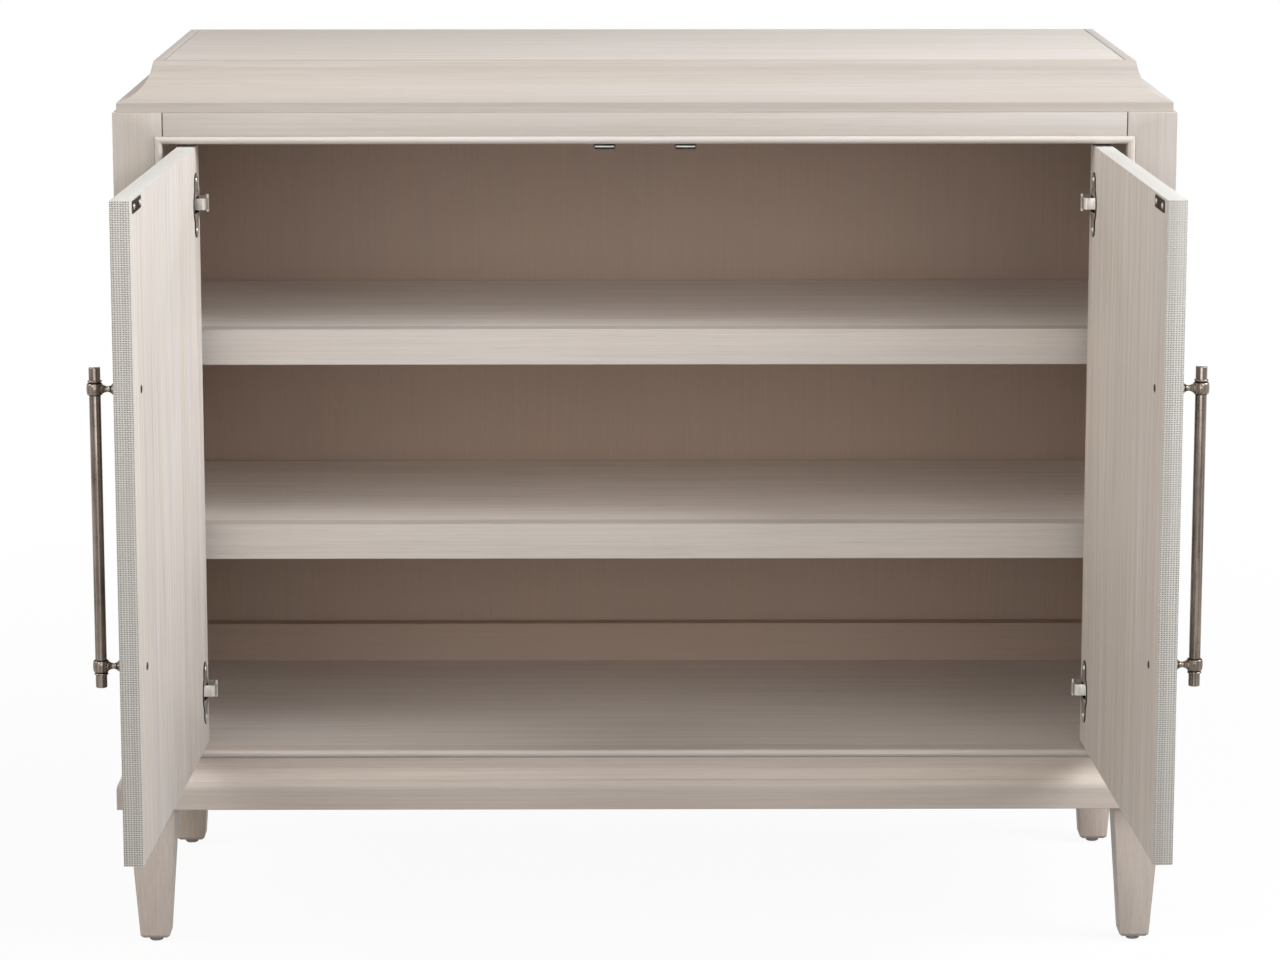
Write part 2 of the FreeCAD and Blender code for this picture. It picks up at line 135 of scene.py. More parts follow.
def a_colour(name, description, default):
    """Setting for a colour."""
    return bpy.props.FloatVectorProperty(name=name, description=description, subtype="COLOR", size=3,
                                         default=default, min=0.0, max=1.0)


def a_length(name, description, default, low, high):
    """Setting for a size in metres."""
    return bpy.props.FloatProperty(name=name, description=description, unit="LENGTH", default=default,
                                   min=low, max=high)


def an_angle(name, description, default):
    """Setting for an angle."""
    return bpy.props.FloatProperty(name=name, description=description, subtype="ANGLE", default=default)


def a_power(name, description, default):
    """Setting for the power of a lamp."""
    return bpy.props.FloatProperty(name=name, description=description, unit="POWER", default=default)


class ChestFinish(bpy.types.PropertyGroup):
    """Colours of the chest"""

    wash: a_colour("Wash", "Pale wash over the wood", (0.690, 0.634, 0.590))
    wood: a_colour("Wood", "Tan of the wood where the wash is thin", (0.470, 0.390, 0.325))
    inside: a_colour("Inside wash", "Thinner, browner wash on the back panel", (0.545, 0.397, 0.310))
    # The joint colour is painted shade in the joints between parts
    joint: a_colour("Joint", "Glaze settled in the joints", (0.150, 0.112, 0.085))
    yarn: a_colour("Pale yarn", "Yarn across the doors", (0.800, 0.770, 0.725))
    warp: a_colour("Upright yarn", "Yarn up the doors", (0.640, 0.602, 0.555))
    ground: a_colour("Ground", "Shade between the yarns", (0.150, 0.128, 0.106))
    nickel: a_colour("Aged nickel", "Metal of the pulls", (0.300, 0.252, 0.215))


class ChestDetail(bpy.types.PropertyGroup):
    """Sizes of the chest's details"""

    easing: a_length("Easing", "Width of the sanded corners on the case", 0.0006, 0.0001, 0.003)
    leg_easing: a_length("Leg easing", "Width of the sanded corners on the legs", 0.0008, 0.0001, 0.005)
    joint_width: a_length("Joint width", "Width of the glazed joints", 0.0012, 0.0002, 0.003)
    metal_easing: a_length("Metal easing", "Width of the broken edges on metal", 0.00025, 0.00005, 0.001)
    cloth_round: a_length("Cloth round", "Rounding of the cloth at a door's edges", 0.0007, 0.0001, 0.0008)
    cloth_thickness: a_length("Cloth thickness", "Thickness of the cloth", 0.0008, 0.0001, 0.003)
    warp_pitch: a_length("Upright pitch", "Spacing of the upright yarns", 0.0025, 0.0005, 0.02)
    weft_pitch: a_length("Cross pitch", "Spacing of the yarns across the door", 0.0021, 0.0005, 0.02)
    open_angle: an_angle("Open angle", "How far the doors stand open at rest", math.radians(92.0))
    post_spacing: a_length("Post spacing", "Distance between the posts of a pull", 0.268, 0.05, 0.6)
    standoff: a_length("Stand-off", "From the door's face to the middle of the bar", 0.025, 0.012, 0.06)


class ChestStage(bpy.types.PropertyGroup):
    """Camera and studio light"""

    camera_place: bpy.props.FloatVectorProperty(
        name="Camera", description="Where the camera stands", subtype="TRANSLATION", size=3,
        default=(-0.0328, -4.4195, 1.3283))
    camera_dip: an_angle("Dip", "How far the camera looks down", 0.1838)
    camera_turn: an_angle("Turn", "How far the camera turns to its left", -0.0062)
    lens: bpy.props.FloatProperty(
        name="Lens", description="Focal length on a 36 mm sensor", subtype="DISTANCE_CAMERA",
        default=121.08)
    side_right: a_power("Right side", "Power of the soft light at the right", 206.0)
    side_left: a_power("Left side", "Power of the soft light at the left", 82.0)
    front_high: a_power("Front, high", "Power of the soft light above the camera", 32.0)
    front_low: a_power("Front, low", "Power of the soft light behind the camera", 20.0)
    front_right: a_power("Front right", "Power of the soft light beside the camera", 46.0)
    front_left: a_power("Front left", "Power of the soft light beyond the left door", 36.0)
    behind: a_power("Behind", "Power of the soft light behind the chest", 34.0)
    room: bpy.props.FloatProperty(
        name="Room", description="Even light from all round", default=0.06, min=0.0, max=2.0)


class Value:
    """A shader socket that Python arithmetic can use."""

    def __init__(self, paint, socket):
        self.paint = paint
        self.socket = socket

    def math(self, operation, *others):
        return self.paint.add("ShaderNodeMath", {"operation": operation},
                              dict(enumerate((self,) + others)))

    def __add__(self, other):
        return self.math("ADD", other)

    __radd__ = __add__

    def __sub__(self, other):
        return self.math("SUBTRACT", other)

    def __rsub__(self, other):
        return self.paint.add("ShaderNodeMath", {"operation": "SUBTRACT"}, {0: other, 1: self})

    def __mul__(self, other):
        return self.math("MULTIPLY", other)

    __rmul__ = __mul__

    def __truediv__(self, other):
        return self.math("DIVIDE", other)

    def __pow__(self, other):
        return self.math("POWER", other)


class Paint:
    """The nodes of a material or a world while they are being added."""

    def __init__(self, holder):
        self.holder = holder
        holder.use_nodes = True
        self.tree = holder.node_tree
        self.tree.nodes.clear()

    def add(self, kind, settings=None, inputs=None, output=0):
        """Add a node: its settings first, then the values or links of its sockets."""
        node = self.tree.nodes.new(kind)
        for key, value in (settings or {}).items():
            setattr(node, key, value)
        for key, value in (inputs or {}).items():
            socket = self.find(node.inputs, key)
            if isinstance(value, Value):
                self.tree.links.new(value.socket, socket)
            elif socket.type == "RGBA" and len(value) == 3:
                socket.default_value = (*value, 1.0)
            else:
                socket.default_value = value
        return None if output is None else Value(self, self.find(node.outputs, output))

    @staticmethod
    def find(sockets, key):
        """A socket by its place, identifier or name."""
        if isinstance(key, int):
            return sockets[key]
        for socket in sockets:
            if socket.identifier == key:
                return socket
        return sockets[key]

    def place(self, output="Object"):
        """The three object coordinates, or the two of the UV map."""
        where = self.add("ShaderNodeTexCoord", output=output)
        return [self.add("ShaderNodeSeparateXYZ", {}, {0: where}, axis) for axis in "XYZ"]

    def vector(self, x, y, z):
        return self.add("ShaderNodeCombineXYZ", {}, {0: x, 1: y, 2: z})

    def noise(self, spot, scales, detail=2.0, roughness=0.5):
        """Noise over three coordinates, each with its own scale."""
        where = self.vector(*[axis * scale for axis, scale in zip(spot, scales)])
        return self.add("ShaderNodeTexNoise", {"noise_dimensions": "3D"},
                        {"Vector": where, "Scale": 1.0, "Detail": detail, "Roughness": roughness})

    def fade(self, value, low, high, start=0.0, end=1.0):
        """Smooth step from start to end as the value goes from low to high."""
        return self.add("ShaderNodeMapRange", {"interpolation_type": "SMOOTHSTEP"},
                        {"Value": value, "From Min": low, "From Max": high, "To Min": start,
                         "To Max": end})

    def mix(self, factor, first, second, blend="MIX"):
        return self.add("ShaderNodeMix", {"data_type": "RGBA", "blend_type": blend},
                        {"Factor_Float": factor, "A_Color": first, "B_Color": second}, "Result_Color")

    def bump(self, height, strength, distance):
        return self.add("ShaderNodeBump", {},
                        {"Strength": strength, "Distance": distance, "Height": height})

    def finish(self, **inputs):
        """Close the material with one principled shader."""
        names = {key.replace("_", " "): value for key, value in inputs.items()}
        shader = self.add("ShaderNodeBsdfPrincipled", {}, names)
        self.add("ShaderNodeOutputMaterial", {}, {"Surface": shader}, None)
        return self.holder


def washed_wood(name, grain, seed, wash, wood, contrast=1.0, rub=0.0, tinge=0.3, gloss=0.5):
    """Straight-grained wood under a pale wash, rubbed thin by a share, with a tinge that drifts."""
    paint = Paint(bpy.data.materials.new(name))
    x, y, z = paint.place()
    along, across, deep = {"X": (x, y, z), "Y": (y, x, z), "Z": (z, x, y)}[grain]
    along = along + 1.7 * seed
    across = across + 0.31 * seed
    deep = deep + 0.53 * seed

    def grainy(length, width, **kind):
        return paint.noise((along, across, deep), (length, width, width), **kind)

    ring_spacing = 0.013
    wave = grainy(1.1, 5.0, detail=1.0)
    rings = (across * 0.78 + deep * 0.62 + wave * 0.09) / ring_spacing
    late = rings.math("FRACT")
    late = paint.fade(late, 0.25, 0.93) * paint.fade(late, 0.93, 1.0, 1.0, 0.0)
    streak = grainy(4.5, 430.0, detail=3.0, roughness=0.62)
    broad = grainy(2.4, 60.0, detail=3.0, roughness=0.55)
    fibre = grainy(9.0, 900.0, detail=2.0, roughness=0.6)
    pores = paint.fade(grainy(26.0, 1150.0, detail=1.0), 0.60, 0.70)
    cloud = grainy(1.3, 3.2, detail=2.0)
    thin = (streak - 0.5) * 1.05 + (broad - 0.5) * 0.40 + (late - 0.4) * 0.07 + (fibre - 0.5) * 0.35
    thin = thin * contrast + (cloud - 0.5) * 0.35 + pores * 0.16 + 0.24 + rub
    thin = thin.math("MAXIMUM", 0.0).math("MINIMUM", 1.0)
    colour = paint.mix(thin, wash, wood)
    cool, warm = (0.975, 1.0, 1.030), (1.015, 1.0, 0.950)
    tint = paint.mix(paint.fade(grainy(1.5, 46.0, detail=2.0), 0.36, 0.64), cool, warm)
    colour = paint.mix(tinge, colour, tint, "MULTIPLY")
    height = fibre * 0.5 + streak * 0.5 - pores * 0.6 - late * 0.15
    return paint.finish(
        Base_Color=colour,
        Roughness=0.64 - 0.28 * gloss + fibre * 0.12 - thin * 0.08,
        Specular_IOR_Level=gloss,
        Coat_Weight=0.12 * gloss,
        Coat_Roughness=0.35,
        Normal=paint.bump(height, 0.22, 0.0004))


def woven_cloth(name, props, detail, gaps):
    """Plain weave of slubby yarns, laid out on the piece's own UV map in metres, with shaded gaps."""
    paint = Paint(bpy.data.materials.new(name))
    u, v, _ = paint.place("UV")
    across = u / detail.warp_pitch + (paint.noise((u, v, 0.0), (60.0, 9.0, 1.0)) - 0.5) * 0.55
    up = v / detail.weft_pitch + (paint.noise((u, v, 0.0), (9.0, 60.0, 1.0)) - 0.5) * 0.60
    column, line = across.math("FLOOR"), up.math("FLOOR")
    off_warp, off_weft = across.math("FRACT") - 0.5, up.math("FRACT") - 0.5
    warp_luck, weft_luck = [
        paint.add("ShaderNodeTexWhiteNoise", {"noise_dimensions": "1D"}, {"W": count}, "Value")
        for count in (column, line + 71.0)]
    slub = paint.noise((u, line, 0.0), (28.0, 3.7, 1.0))
    warp_body = 1.0 - (off_warp * (3.0 - 0.5 * warp_luck)) ** 2.0
    weft_body = 1.0 - (off_weft * (3.1 - 0.9 * slub - 0.3 * weft_luck)) ** 2.0
    warp_rise = ((up + column) * math.pi).math("SINE")
    weft_rise = 0.0 - ((across + line) * math.pi).math("SINE")
    warp_top = warp_body + warp_rise * 0.30
    weft_top = weft_body + weft_rise * 0.30
    height = warp_top.math("MAXIMUM", weft_top)
    crossing = paint.fade(weft_top - warp_top, -0.25, 0.25)
    hair = paint.noise((u, v, 0.0), (1900.0, 1900.0, 1.0), detail=3.0, roughness=0.7)
    warp_colour = paint.mix(warp_luck * 0.6, props.warp, props.yarn)
    weft_colour = paint.mix(weft_luck * 0.35 + slub * 0.35, props.yarn, props.warp)
    yarns = paint.mix(crossing, warp_colour, weft_colour)
    shade = paint.fade(height, 0.95, 0.05)
    colour = paint.mix(shade * gaps, yarns, props.ground)
    bleached = (0.80, 0.77, 0.71)
    colour = paint.mix((hair - 0.35) * 0.30, colour, bleached)
    return paint.finish(
        Base_Color=colour,
        Roughness=0.86,
        Sheen_Weight=0.15,
        Normal=paint.bump(height * 0.8 + hair * 0.25, 0.55, 0.0006))


def worn_metal(name, colour, dark, roughness, turned=True, patina=0.5, metallic=1.0, streaks=0.0):
    """Metal with fine turning marks, a cloudy patina, dull spots and upright streaks of wear."""
    paint = Paint(bpy.data.materials.new(name))
    spot = paint.place()
    marks = paint.noise(spot, (60.0, 60.0, 4200.0 if turned else 60.0))
    cloud = paint.noise(spot, (55.0, 55.0, 38.0), detail=4.0, roughness=0.65)
    spots = paint.fade(paint.noise(spot, (420.0, 420.0, 420.0)), 0.60, 0.74)
    worn = paint.noise(spot, (650.0, 650.0, 9.0))
    tone = paint.fade(cloud, 0.34, 0.70) * patina + spots * 0.25 + paint.fade(worn, 0.38, 0.62) * streaks
    base = paint.mix(tone.math("MINIMUM", 1.0), colour, dark)
    return paint.finish(
        Base_Color=base,
        Metallic=metallic,
        Roughness=roughness + (marks - 0.5) * 0.10 + cloud * 0.12 + spots * 0.10,
        Normal=paint.bump(marks * 0.6 + cloud * 0.4, 0.06, 0.0002))


def dull_solid(name, colour, dark, roughness, speck):
    """Moulded, painted or sawn material with a fine mottle."""
    paint = Paint(bpy.data.materials.new(name))
    spot = paint.place()
    grain = paint.noise(spot, (speck, speck, speck), detail=3.0, roughness=0.6)
    cloud = paint.noise(spot, (40.0, 40.0, 40.0))
    tone = paint.fade(grain * 0.6 + cloud * 0.4, 0.30, 0.70)
    return paint.finish(
        Base_Color=paint.mix(tone, colour, dark),
        Roughness=roughness + (grain - 0.5) * 0.18,
        Normal=paint.bump(grain, 0.15, 0.0002))


def make_finishes(props, detail):
    """Every finish but the wood, which differs from board to board, by name."""
    return {
        "cloth": woven_cloth("woven_cloth", props, detail, 1.0),
        # A paler weave for the top and the foot of each door: painted light
        "painted_light_cloth": woven_cloth("close_woven_cloth", props, detail, 0.10),
        "pull": worn_metal("aged_nickel", props.nickel, (0.060, 0.047, 0.038), 0.10, patina=0.25,
                           streaks=0.55),
        # Dark patina for the pulls' grooves, also used as painted shade at the hinges, the catches' keepers
        # and the feet of the pulls
        "groove": worn_metal("dark_patina", (0.045, 0.036, 0.030), (0.025, 0.020, 0.017), 0.42,
                             turned=False),
        "hinge": worn_metal("hinge_nickel", (0.620, 0.580, 0.530), (0.420, 0.385, 0.345), 0.26,
                            turned=False, patina=0.35, metallic=0.7),
        "pivot": worn_metal("pivot_steel", (0.200, 0.185, 0.170), (0.110, 0.100, 0.090), 0.30),
        "bronze": worn_metal("dark_bronze", (0.090, 0.074, 0.060), (0.045, 0.037, 0.030), 0.34,
                             turned=False),
        "screw": worn_metal("bright_screw", (0.700, 0.680, 0.640), (0.420, 0.395, 0.360), 0.22),
        "zinc": worn_metal("zinc_plate", (0.560, 0.560, 0.545), (0.380, 0.375, 0.360), 0.30,
                           turned=False),
        "magnet": dull_solid("catch_case", (0.250, 0.205, 0.175), (0.180, 0.148, 0.125), 0.50, 900.0),
        "glide": dull_solid("glide_plastic", (0.480, 0.468, 0.450), (0.380, 0.370, 0.355), 0.48, 1400.0),
        "board": dull_solid("core_board", (0.470, 0.335, 0.215), (0.330, 0.225, 0.140), 0.80, 650.0),
    }


# Finishes that several pieces share, by name, once the first operator has mixed them
FINISH = {}


def of_kind(node, table, usual):
    """The table's value for the first kind that the node's name starts with."""
    return next((value for kind, value in table.items() if node.startswith(kind)), usual)


def merged(node):
    """The node's mesh with its triangles joined into whole faces."""
    work = bmesh.new()
    work.from_mesh(frame["nodes"][node].data)
    bmesh.ops.remove_doubles(work, verts=work.verts, dist=WELD)
    bmesh.ops.dissolve_limit(work, angle_limit=FLAT, verts=work.verts, edges=work.edges)
    return work


def eased(work, width, shortest=0.0, along=None):
    """Break a mesh's sharp outer edges, or those along one axis. New faces take the second material."""
    edges = []
    way = Vector([axis == along for axis in "XYZ"])
    for edge in work.edges:
        if len(edge.link_faces) != 2 or edge.calc_length() < shortest or not edge.is_convex:
            continue
        if edge.calc_face_angle() < BROKEN:
            continue
        run = (edge.verts[1].co - edge.verts[0].co).normalized()
        if along is None or abs(run.dot(way)) > 0.999:
            edges.append(edge)
    if edges:
        bmesh.ops.bevel(work, geom=edges, offset=width, offset_type="OFFSET", segments=2, profile=0.5,
                        affect="EDGES", clamp_overlap=True, loop_slide=True, material=1)


def in_scene(name, data):
    """Put a mesh, a lamp or a camera in the scene as an object at the origin."""
    made = bpy.data.objects.new(name, data)
    bpy.context.scene.collection.objects.link(made)
    return made


def as_piece(name, work, body, materials, replaces=()):
    """Turn a mesh under construction into a piece that rides on a body."""
    mesh = bpy.data.meshes.new(name)
    for face in work.faces:
        face.smooth = True
    work.to_mesh(mesh)
    work.free()
    for material in materials:
        mesh.materials.append(material)
    mesh.set_sharp_from_angle(angle=CORNER)
    piece = in_scene(name, mesh)
    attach(piece, body)
    if replaces:
        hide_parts(*replaces)
    return piece


def recolour(node, finish):
    """Give a node that keeps its shape one finish."""
    materials = frame["nodes"][node].data.materials
    materials.clear()
    materials.append(finish)


def block(work, low, high, width):
    """Add a box between two corners, with eased edges."""
    made = bmesh.ops.create_cube(work, size=1.0)["verts"]
    for vert in made:
        vert.co = Vector(a + (b - a) * (c + 0.5) for a, b, c in zip(low, high, vert.co))
    edges = list({edge for vert in made for edge in vert.link_edges})
    bmesh.ops.bevel(work, geom=edges, offset=width, segments=2, profile=0.5, affect="EDGES",
                    clamp_overlap=True)


def circle(radius, height, steps):
    """Points round a circle about the Z axis."""
    turns = [2 * math.pi * i / steps for i in range(steps)]
    return [Vector((radius * math.cos(turn), radius * math.sin(turn), height)) for turn in turns]


def lathe(work, profile, place, steps=48):
    """Add a turned shape: (radius, along) points spun about the place's own Z axis."""
    rings = []
    for radius, along in profile:
        on_axis = radius < 1e-7
        spots = [Vector((0.0, 0.0, along))] if on_axis else circle(radius, along, steps)
        rings.append([work.verts.new(place @ spot) for spot in spots])
    for one, two in zip(rings, rings[1:]):
        for i in range(steps):
            j = (i + 1) % steps
            corners = [one[i % len(one)], one[j % len(one)], two[j % len(two)], two[i % len(two)]]
            work.faces.new(list(dict.fromkeys(corners)))
    bmesh.ops.recalc_face_normals(work, faces=work.faces)


def arc(middle, radius, start, end, steps):
    """Points round part of a circle, in degrees."""
    turns = [math.radians(start + (end - start) * i / steps) for i in range(steps + 1)]
    return [(middle[0] + radius * math.cos(turn), middle[1] + radius * math.sin(turn)) for turn in turns]


def door_frame(side):
    """Along the door to its free edge, out of its front, and up, for a door at rest."""
    turn = bpy.context.scene.hall_chest_detail.open_angle
    sign = -1.0 if side == "left" else 1.0
    along = Vector((-sign * math.cos(turn), -math.sin(turn), 0.0))
    out = Vector((sign * math.sin(turn), -math.cos(turn), 0.0))
    return along, out, Vector((0.0, 0.0, 1.0))


def standing(origin, x, y, z):
    """Matrix whose axes are the three given directions."""
    turn = Matrix((x, y, z)).transposed().to_4x4()
    return Matrix.Translation(origin) @ turn


def span(node, direction):
    """A node's thickness in a direction."""
    reach = [direction.dot(vert.co) for vert in frame["nodes"][node].data.vertices]
    return max(reach) - min(reach)


def screw_head():
    """A screw head of unit radius and height, domed, with a cross recess."""
    work = bmesh.new()
    steps, arm, half, sink, narrow = 24, 0.62, 0.15, 0.45, 0.85
    dome = ((1.0, 0.0), (1.0, 0.35), (0.93, 0.72), (0.78, 1.0))
    rings = [[work.verts.new(spot) for spot in circle(radius, height, steps)] for radius, height in dome]
    work.faces.new(list(reversed(rings[0])))
    for one, two in zip(rings, rings[1:]):
        for i in range(steps):
            work.faces.new((one[i], one[(i + 1) % steps], two[(i + 1) % steps], two[i]))
    cross = [(arm, -half), (arm, half), (half, half), (half, arm), (-half, arm), (-half, half),
             (-arm, half), (-arm, -half), (-half, -half), (-half, -arm), (half, -arm), (half, -half)]
    mouth = [work.verts.new((x, y, 1.0)) for x, y in cross]
    bed = [work.verts.new((x * narrow, y * narrow, 1.0 - sink)) for x, y in cross]
    loops = []
    for loop in (rings[-1], mouth):
        for one, two in zip(loop, loop[1:] + loop[:1]):
            loops.append(work.edges.get((one, two)) or work.edges.new((one, two)))
    bmesh.ops.bridge_loops(work, edges=loops)
    for i in range(len(cross)):
        j = (i + 1) % len(cross)
        work.faces.new((mouth[j], mouth[i], bed[i], bed[j]))
    work.faces.new(bed)
    bmesh.ops.recalc_face_normals(work, faces=work.faces)
    mesh = bpy.data.meshes.new("screw_head")
    work.to_mesh(mesh)
    work.free()
    return bpy.data.objects.new("screw_head", mesh)


def screw_tree():
    """Node group that sets a cross-slotted screw head on every point, square to its surface."""
    tree = bpy.data.node_groups.new("screw_heads", "GeometryNodeTree")
    face = tree.interface
    face.new_socket("Points", in_out="INPUT", socket_type="NodeSocketGeometry")
    face.new_socket("Head", in_out="INPUT", socket_type="NodeSocketObject")
    for name, default in (("Radius", 0.003), ("Height", 0.001)):
        socket = face.new_socket(name, in_out="INPUT", socket_type="NodeSocketFloat")
        socket.default_value = default
    face.new_socket("Metal", in_out="INPUT", socket_type="NodeSocketMaterial")
    face.new_socket("Heads", in_out="OUTPUT", socket_type="NodeSocketGeometry")

    def put(kind, inputs=None, **settings):
        node = tree.nodes.new(kind)
        for key, value in settings.items():
            setattr(node, key, value)
        for key, value in (inputs or {}).items():
            if isinstance(value, bpy.types.NodeSocket):
                tree.links.new(value, node.inputs[key])
            else:
                node.inputs[key].default_value = value
        return node

    given = put("NodeGroupInput").outputs
    head = put("GeometryNodeObjectInfo", {"Object": given["Head"]}).outputs["Geometry"]
    size = put("ShaderNodeCombineXYZ",
               {0: given["Radius"], 1: given["Radius"], 2: given["Height"]}).outputs[0]
    out = put("GeometryNodeInputNamedAttribute", {"Name": "out"}, data_type="FLOAT_VECTOR").outputs[0]
    facing = put("FunctionNodeAlignRotationToVector", {"Vector": out}, axis="Z").outputs[0]
    spin = put("FunctionNodeRandomValue", {2: 0.0, 3: math.pi / 2, "Seed": 7}, data_type="FLOAT").outputs[1]
    turn = put("FunctionNodeAxisAngleToRotation", {"Axis": (0.0, 0.0, 1.0), "Angle": spin}).outputs[0]
    both = put("FunctionNodeRotateRotation", {0: facing, 1: turn}, rotation_space="LOCAL").outputs[0]
    heads = put("GeometryNodeInstanceOnPoints", {"Points": given["Points"], "Instance": head,
                                                 "Rotation": both, "Scale": size}).outputs[0]
    solid = put("GeometryNodeRealizeInstances", {"Geometry": heads}).outputs[0]
    dressed = put("GeometryNodeSetMaterial", {"Geometry": solid, "Material": given["Metal"]}).outputs[0]
    put("NodeGroupOutput", {"Heads": dressed})
    return tree


def screws(name, body, spots, size, finish):
    """Screw heads of a (radius, height) at (point, outward) spots, as one plain mesh on one body."""
    tree = bpy.data.node_groups.get("screw_heads") or screw_tree()
    mesh = bpy.data.meshes.new(name + "_points")
    mesh.from_pydata([point for point, _ in spots], [], [])
    outward = mesh.attributes.new("out", "FLOAT_VECTOR", "POINT")
    for value, (_, direction) in zip(outward.data, spots):
        value.vector = direction
    maker = in_scene(name + "_points", mesh)
    modifier = maker.modifiers.new("heads", "NODES")
    modifier.node_group = tree
    head = screw_head()
    values = {"Radius": size[0], "Height": size[1], "Head": head, "Metal": FINISH[finish]}
    for item in tree.interface.items_tree:
        if item.in_out == "INPUT" and item.name in values:
            modifier[item.identifier] = values[item.name]
    bpy.context.view_layer.update()
    made = bpy.data.meshes.new_from_object(maker.evaluated_get(bpy.context.evaluated_depsgraph_get()))
    bpy.data.objects.remove(maker)
    bpy.data.objects.remove(head)
    if not made.polygons:
        raise RuntimeError("no screw heads were made for " + name)
    made.name = name
    made.set_sharp_from_angle(angle=CORNER)
    piece = in_scene(name, made)
    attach(piece, body)


def cup_cover(work, place, way):
    """Add the lip that closes a hinge cup above or below its arm."""
    radius, half_gap, thickness, steps = 0.0172, 0.0085, 0.0008, 14
    start = math.asin(half_gap / radius)
    turns = [start + (math.pi - 2 * start) * i / steps for i in range(steps + 1)]
    edge = [(radius * math.cos(turn), way * radius * math.sin(turn)) for turn in turns]
    rings = [[work.verts.new(place @ Vector((x, depth, z))) for x, z in edge]
             for depth in (LET_IN, thickness)]
    for ring in rings:
        work.faces.new(ring)
    for i in range(steps + 1):
        j = (i + 1) % (steps + 1)
        work.faces.new((rings[0][i], rings[0][j], rings[1][j], rings[1][i]))


def cloth_shell(node, place, detail):
    """Cloth over the front and the edges of a door, open to its inner face, with its UV in metres."""
    home = place.inverted()
    spots = [home @ vert.co for vert in frame["nodes"][node].data.vertices]
    low, high = [[pick(spot[i] for spot in spots) for i in range(3)] for pick in (min, max)]
    inset = detail.cloth_thickness
    holes = [low[0] + inset, low[1], low[2] + inset], [high[0] - inset, high[1] - inset, high[2] - inset]
    work = bmesh.new()

    def corners(box):
        return [work.verts.new((box[i][0], box[j][1], box[k][2]))
                for i in (0, 1) for j in (0, 1) for k in (0, 1)]

    outer, inner = corners((low, high)), corners(holes)
    for one, two, three, four in ((0, 1, 3, 2), (5, 4, 6, 7), (1, 5, 7, 3), (4, 0, 2, 6), (2, 3, 7, 6)):
        work.faces.new([outer[i] for i in (one, two, three, four)])
        work.faces.new([inner[i] for i in (four, three, two, one)])
    for one, two in ((0, 1), (1, 5), (5, 4), (4, 0)):
        work.faces.new((outer[two], outer[one], inner[one], inner[two]))
    bmesh.ops.recalc_face_normals(work, faces=work.faces)
    rim = [edge for edge in work.edges if set(edge.verts) <= set(outer)]
    bmesh.ops.bevel(work, geom=rim, offset=detail.cloth_round, segments=3, profile=0.5, affect="EDGES",
                    clamp_overlap=True)
    layer = work.loops.layers.uv.new("weave")
    for face in work.faces:
        steepest = max(range(3), key=lambda i: abs(face.normal[i]))
        # The top and the foot take a paler weave with little shade between the yarns: painted light,
        # standing in for light from above on the top edges
        face.material_index = 1 if steepest == 2 else 0
        for loop in face.loops:
            a, o, h = loop.vert.co
            if steepest == 0:
                a += math.copysign(high[1] - o, face.normal[0])
            elif steepest == 2:
                h += math.copysign(high[1] - o, face.normal[2])
            loop[layer].uv = (a, h)
    bmesh.ops.transform(work, matrix=place, verts=work.verts)
    bmesh.ops.recalc_face_normals(work, faces=work.faces)
    return work


class HALLCHEST_OT_finishes(bpy.types.Operator):
    """Mix the finishes that several pieces share"""

    bl_idname = "hall_chest.finishes"
    bl_label = "Mix finishes"

    def execute(self, context):
        FINISH.update(make_finishes(context.scene.hall_chest_finish, context.scene.hall_chest_detail))
        return {"FINISHED"}


def dress_board(node, grain, seed, props, detail):
    """Break a board's edges and give it wood of its own."""
    inner_wood, shelf_painted_light_rub, joint_shade_rub = 0.72, -0.12, 0.35
    shortest, leaning, lip_depth = 0.004, 0.3, 0.0065
    inner = node in INNER
    # Each board's wash is scaled by its painted light and shade
    wash = Vector(props.inside if inner else props.wash) * PAINTED_LIGHT_SCALE.get(node, 1.0)
    wash = wash * Vector(of_kind(node, WARMTH, WHITE))
    wood = Vector(props.wood) * (inner_wood if inner else 1.0)
    shelf = node.startswith(("shelf_", "deck"))
    joint_shaded = node.startswith(JOINT_SHADE_BOARDS)
    # Shelves show less of the tan wood through the wash: painted light on the shelf tops
    board = washed_wood("wood_" + node, grain, seed, wash, wood, contrast=of_kind(node, FIGURE, 1.0),
                        rub=shelf_painted_light_rub if shelf else 0.0, gloss=of_kind(node, GLOSS, 0.5))
    # On the joint-shaded boards the broken edges take the joint colour: painted shade
    edge = washed_wood("worn_edge_" + node, grain, seed, wash, props.joint if joint_shaded else props.wood,
                       rub=joint_shade_rub if joint_shaded else EDGE_RUB)
    finishes = [board, edge]
    work = merged(node)
    if node in JOINTS:
        eased(work, detail.joint_width, shortest, JOINTS[node])
    width = detail.leg_easing if node.startswith("leg_") else detail.easing
    eased(work, width, shortest, grain if node.startswith(MITRED) else None)
    if node.startswith("top_cove"):
        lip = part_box("top_panel")[1].z - lip_depth
        for face in work.faces:
            if face.calc_center_median().z > lip and abs(face.normal.z) < leaning:
                face.material_index = 1
    # The joints at the board's ends take the joint colour in full: painted shade
    if node in JOINTS:
        finishes.append(washed_wood("glazed_joint_" + node, grain, seed, wash, props.joint, rub=1.0))
        for face in work.faces:
            if face.material_index == 1 and abs(face.normal.x) > leaning:
                face.material_index = 2
    as_piece("board." + node, work, "case", finishes, [node])


class HALLCHEST_OT_case(bpy.types.Operator):
    """Dress the boards, mouldings and legs of the case"""

    bl_idname = "hall_chest.case"
    bl_label = "Case"

    def execute(self, context):
        boards = [(node, grain) for grain, nodes in GRAIN.items() for node in nodes]
        for seed, (node, grain) in enumerate(boards, 1):
            dress_board(node, grain, seed, context.scene.hall_chest_finish, context.scene.hall_chest_detail)
        return {"FINISHED"}


